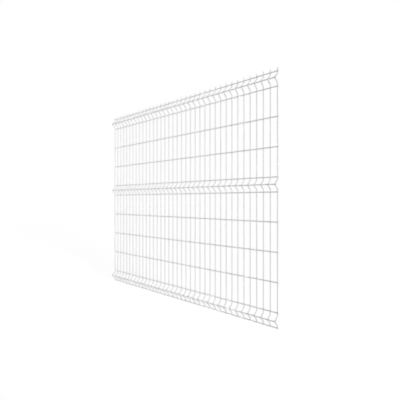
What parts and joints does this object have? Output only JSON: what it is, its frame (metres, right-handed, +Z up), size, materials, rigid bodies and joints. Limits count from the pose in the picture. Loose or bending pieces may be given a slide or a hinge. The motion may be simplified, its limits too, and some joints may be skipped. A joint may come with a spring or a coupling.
{
  "type": "welded mesh fence panel",
  "caption": "White welded wire fence panel with tall narrow mesh, pressed into three horizontal V-folds, with bare wire ends standing above the top wire.",
  "frame": {"origin": "the cut foot of the middle vertical wire, at the bottom of the panel", "axes": "+X along the fence, +Y through it to the side of the cross wires, +Z up; the folds push out towards -Y"},
  "size_m": [1.988, 0.0395, 1.724],
  "materials": {
    "white_powder_coat": "smooth satin white powder coat over galvanised steel wire"
  },
  "bodies": {
    "root": {"bottom_fold": "white_powder_coat", "lower_mesh": "white_powder_coat", "middle_fold": "white_powder_coat", "upper_mesh": "white_powder_coat", "top_fold": "white_powder_coat"}
  },
  "joints": []
}
